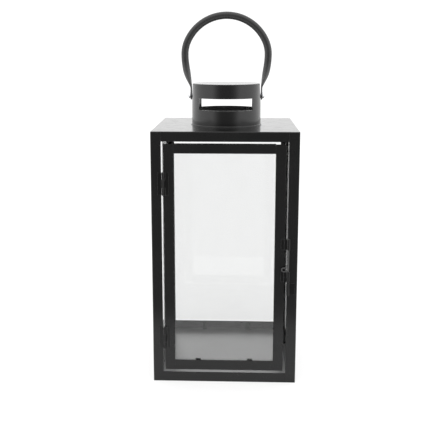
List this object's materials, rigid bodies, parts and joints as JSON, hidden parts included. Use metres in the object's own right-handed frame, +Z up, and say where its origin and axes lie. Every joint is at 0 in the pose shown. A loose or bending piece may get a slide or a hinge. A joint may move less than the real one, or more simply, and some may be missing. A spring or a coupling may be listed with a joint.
{
  "type": "hurricane candle lantern",
  "caption": "Square glazed metal candle lantern with a hinged glass door, a round slotted chimney and a swinging carry handle.",
  "frame": {"origin": "centre of the flat underside of the floor plate, which is the face the lantern stands on", "axes": "+Z up, the glazed door faces -Y with its hinges on the -X side, +X to the right seen from the front"},
  "size_m": [0.19, 0.1947, 0.49],
  "materials": {
    "frame_paint": "satin black paint on folded steel",
    "lid_paint": "satin black paint, smooth and slightly glossy",
    "floor_paint": "glossy black paint",
    "chimney_paint": "satin black paint",
    "handle_paint": "satin black paint",
    "hardware_black": "satin black paint",
    "clip_paint": "satin black paint",
    "zinc_hardware": "bright plated steel",
    "clear_glass": "clear flat float glass"
  },
  "bodies": {
    "root": {"bottom_rail_back": "frame_paint", "bottom_rail_front": "frame_paint", "bottom_rail_left": "frame_paint", "bottom_rail_right": "frame_paint", "chimney_cap": "chimney_paint", "chimney_foot_ring": "chimney_paint", "chimney_tube": "chimney_paint", "corner_post_back_left": "frame_paint", "corner_post_back_right": "frame_paint", "corner_post_front_left": "frame_paint", "corner_post_front_right": "frame_paint", "floor_plate": "floor_paint", "glass_back": "clear_glass", "glass_clips_back": "clip_paint", "glass_clips_left": "clip_paint", "glass_clips_right": "clip_paint", "glass_left": "clear_glass", "glass_right": "clear_glass", "handle_nuts": "zinc_hardware", "handle_screws": "zinc_hardware", "handle_washers": "zinc_hardware", "hinge_leaf_frame_lower": "hardware_black", "hinge_leaf_frame_upper": "hardware_black", "hinge_pin_lower": "hardware_black", "hinge_pin_upper": "hardware_black", "latch_keeper": "hardware_black", "top_plate": "lid_paint", "top_rail_back": "frame_paint", "top_rail_front": "frame_paint", "top_rail_left": "frame_paint", "top_rail_right": "frame_paint"},
    "door": {"door_glass": "clear_glass", "door_glass_clips": "clip_paint", "door_rail_bottom": "frame_paint", "door_rail_top": "frame_paint", "door_stile_hinge": "frame_paint", "door_stile_latch": "frame_paint", "hinge_leaf_door_lower": "hardware_black", "hinge_leaf_door_upper": "hardware_black", "latch_guide_lower": "hardware_black", "latch_guide_upper": "hardware_black"},
    "latch": {"latch_bolt": "hardware_black"},
    "handle": {"carry_handle": "handle_paint"}
  },
  "joints": [
    {"name": "door_hinge", "type": "hinge", "parent": "root", "child": "door", "pos_m": [-0.0789, -0.0971, 0.166], "axis": [0, 0, -1], "range_deg": [0, 170]},
    {"name": "latch_slide", "type": "slide", "parent": "door", "child": "latch", "axis": [0, 0, -1], "range_m": [0, 0.008]},
    {"name": "handle_swing", "type": "hinge", "parent": "root", "child": "handle", "pos_m": [0, 0, 0.3775], "axis": [1, 0, 0], "range_deg": [-109, 109]}
  ]
}
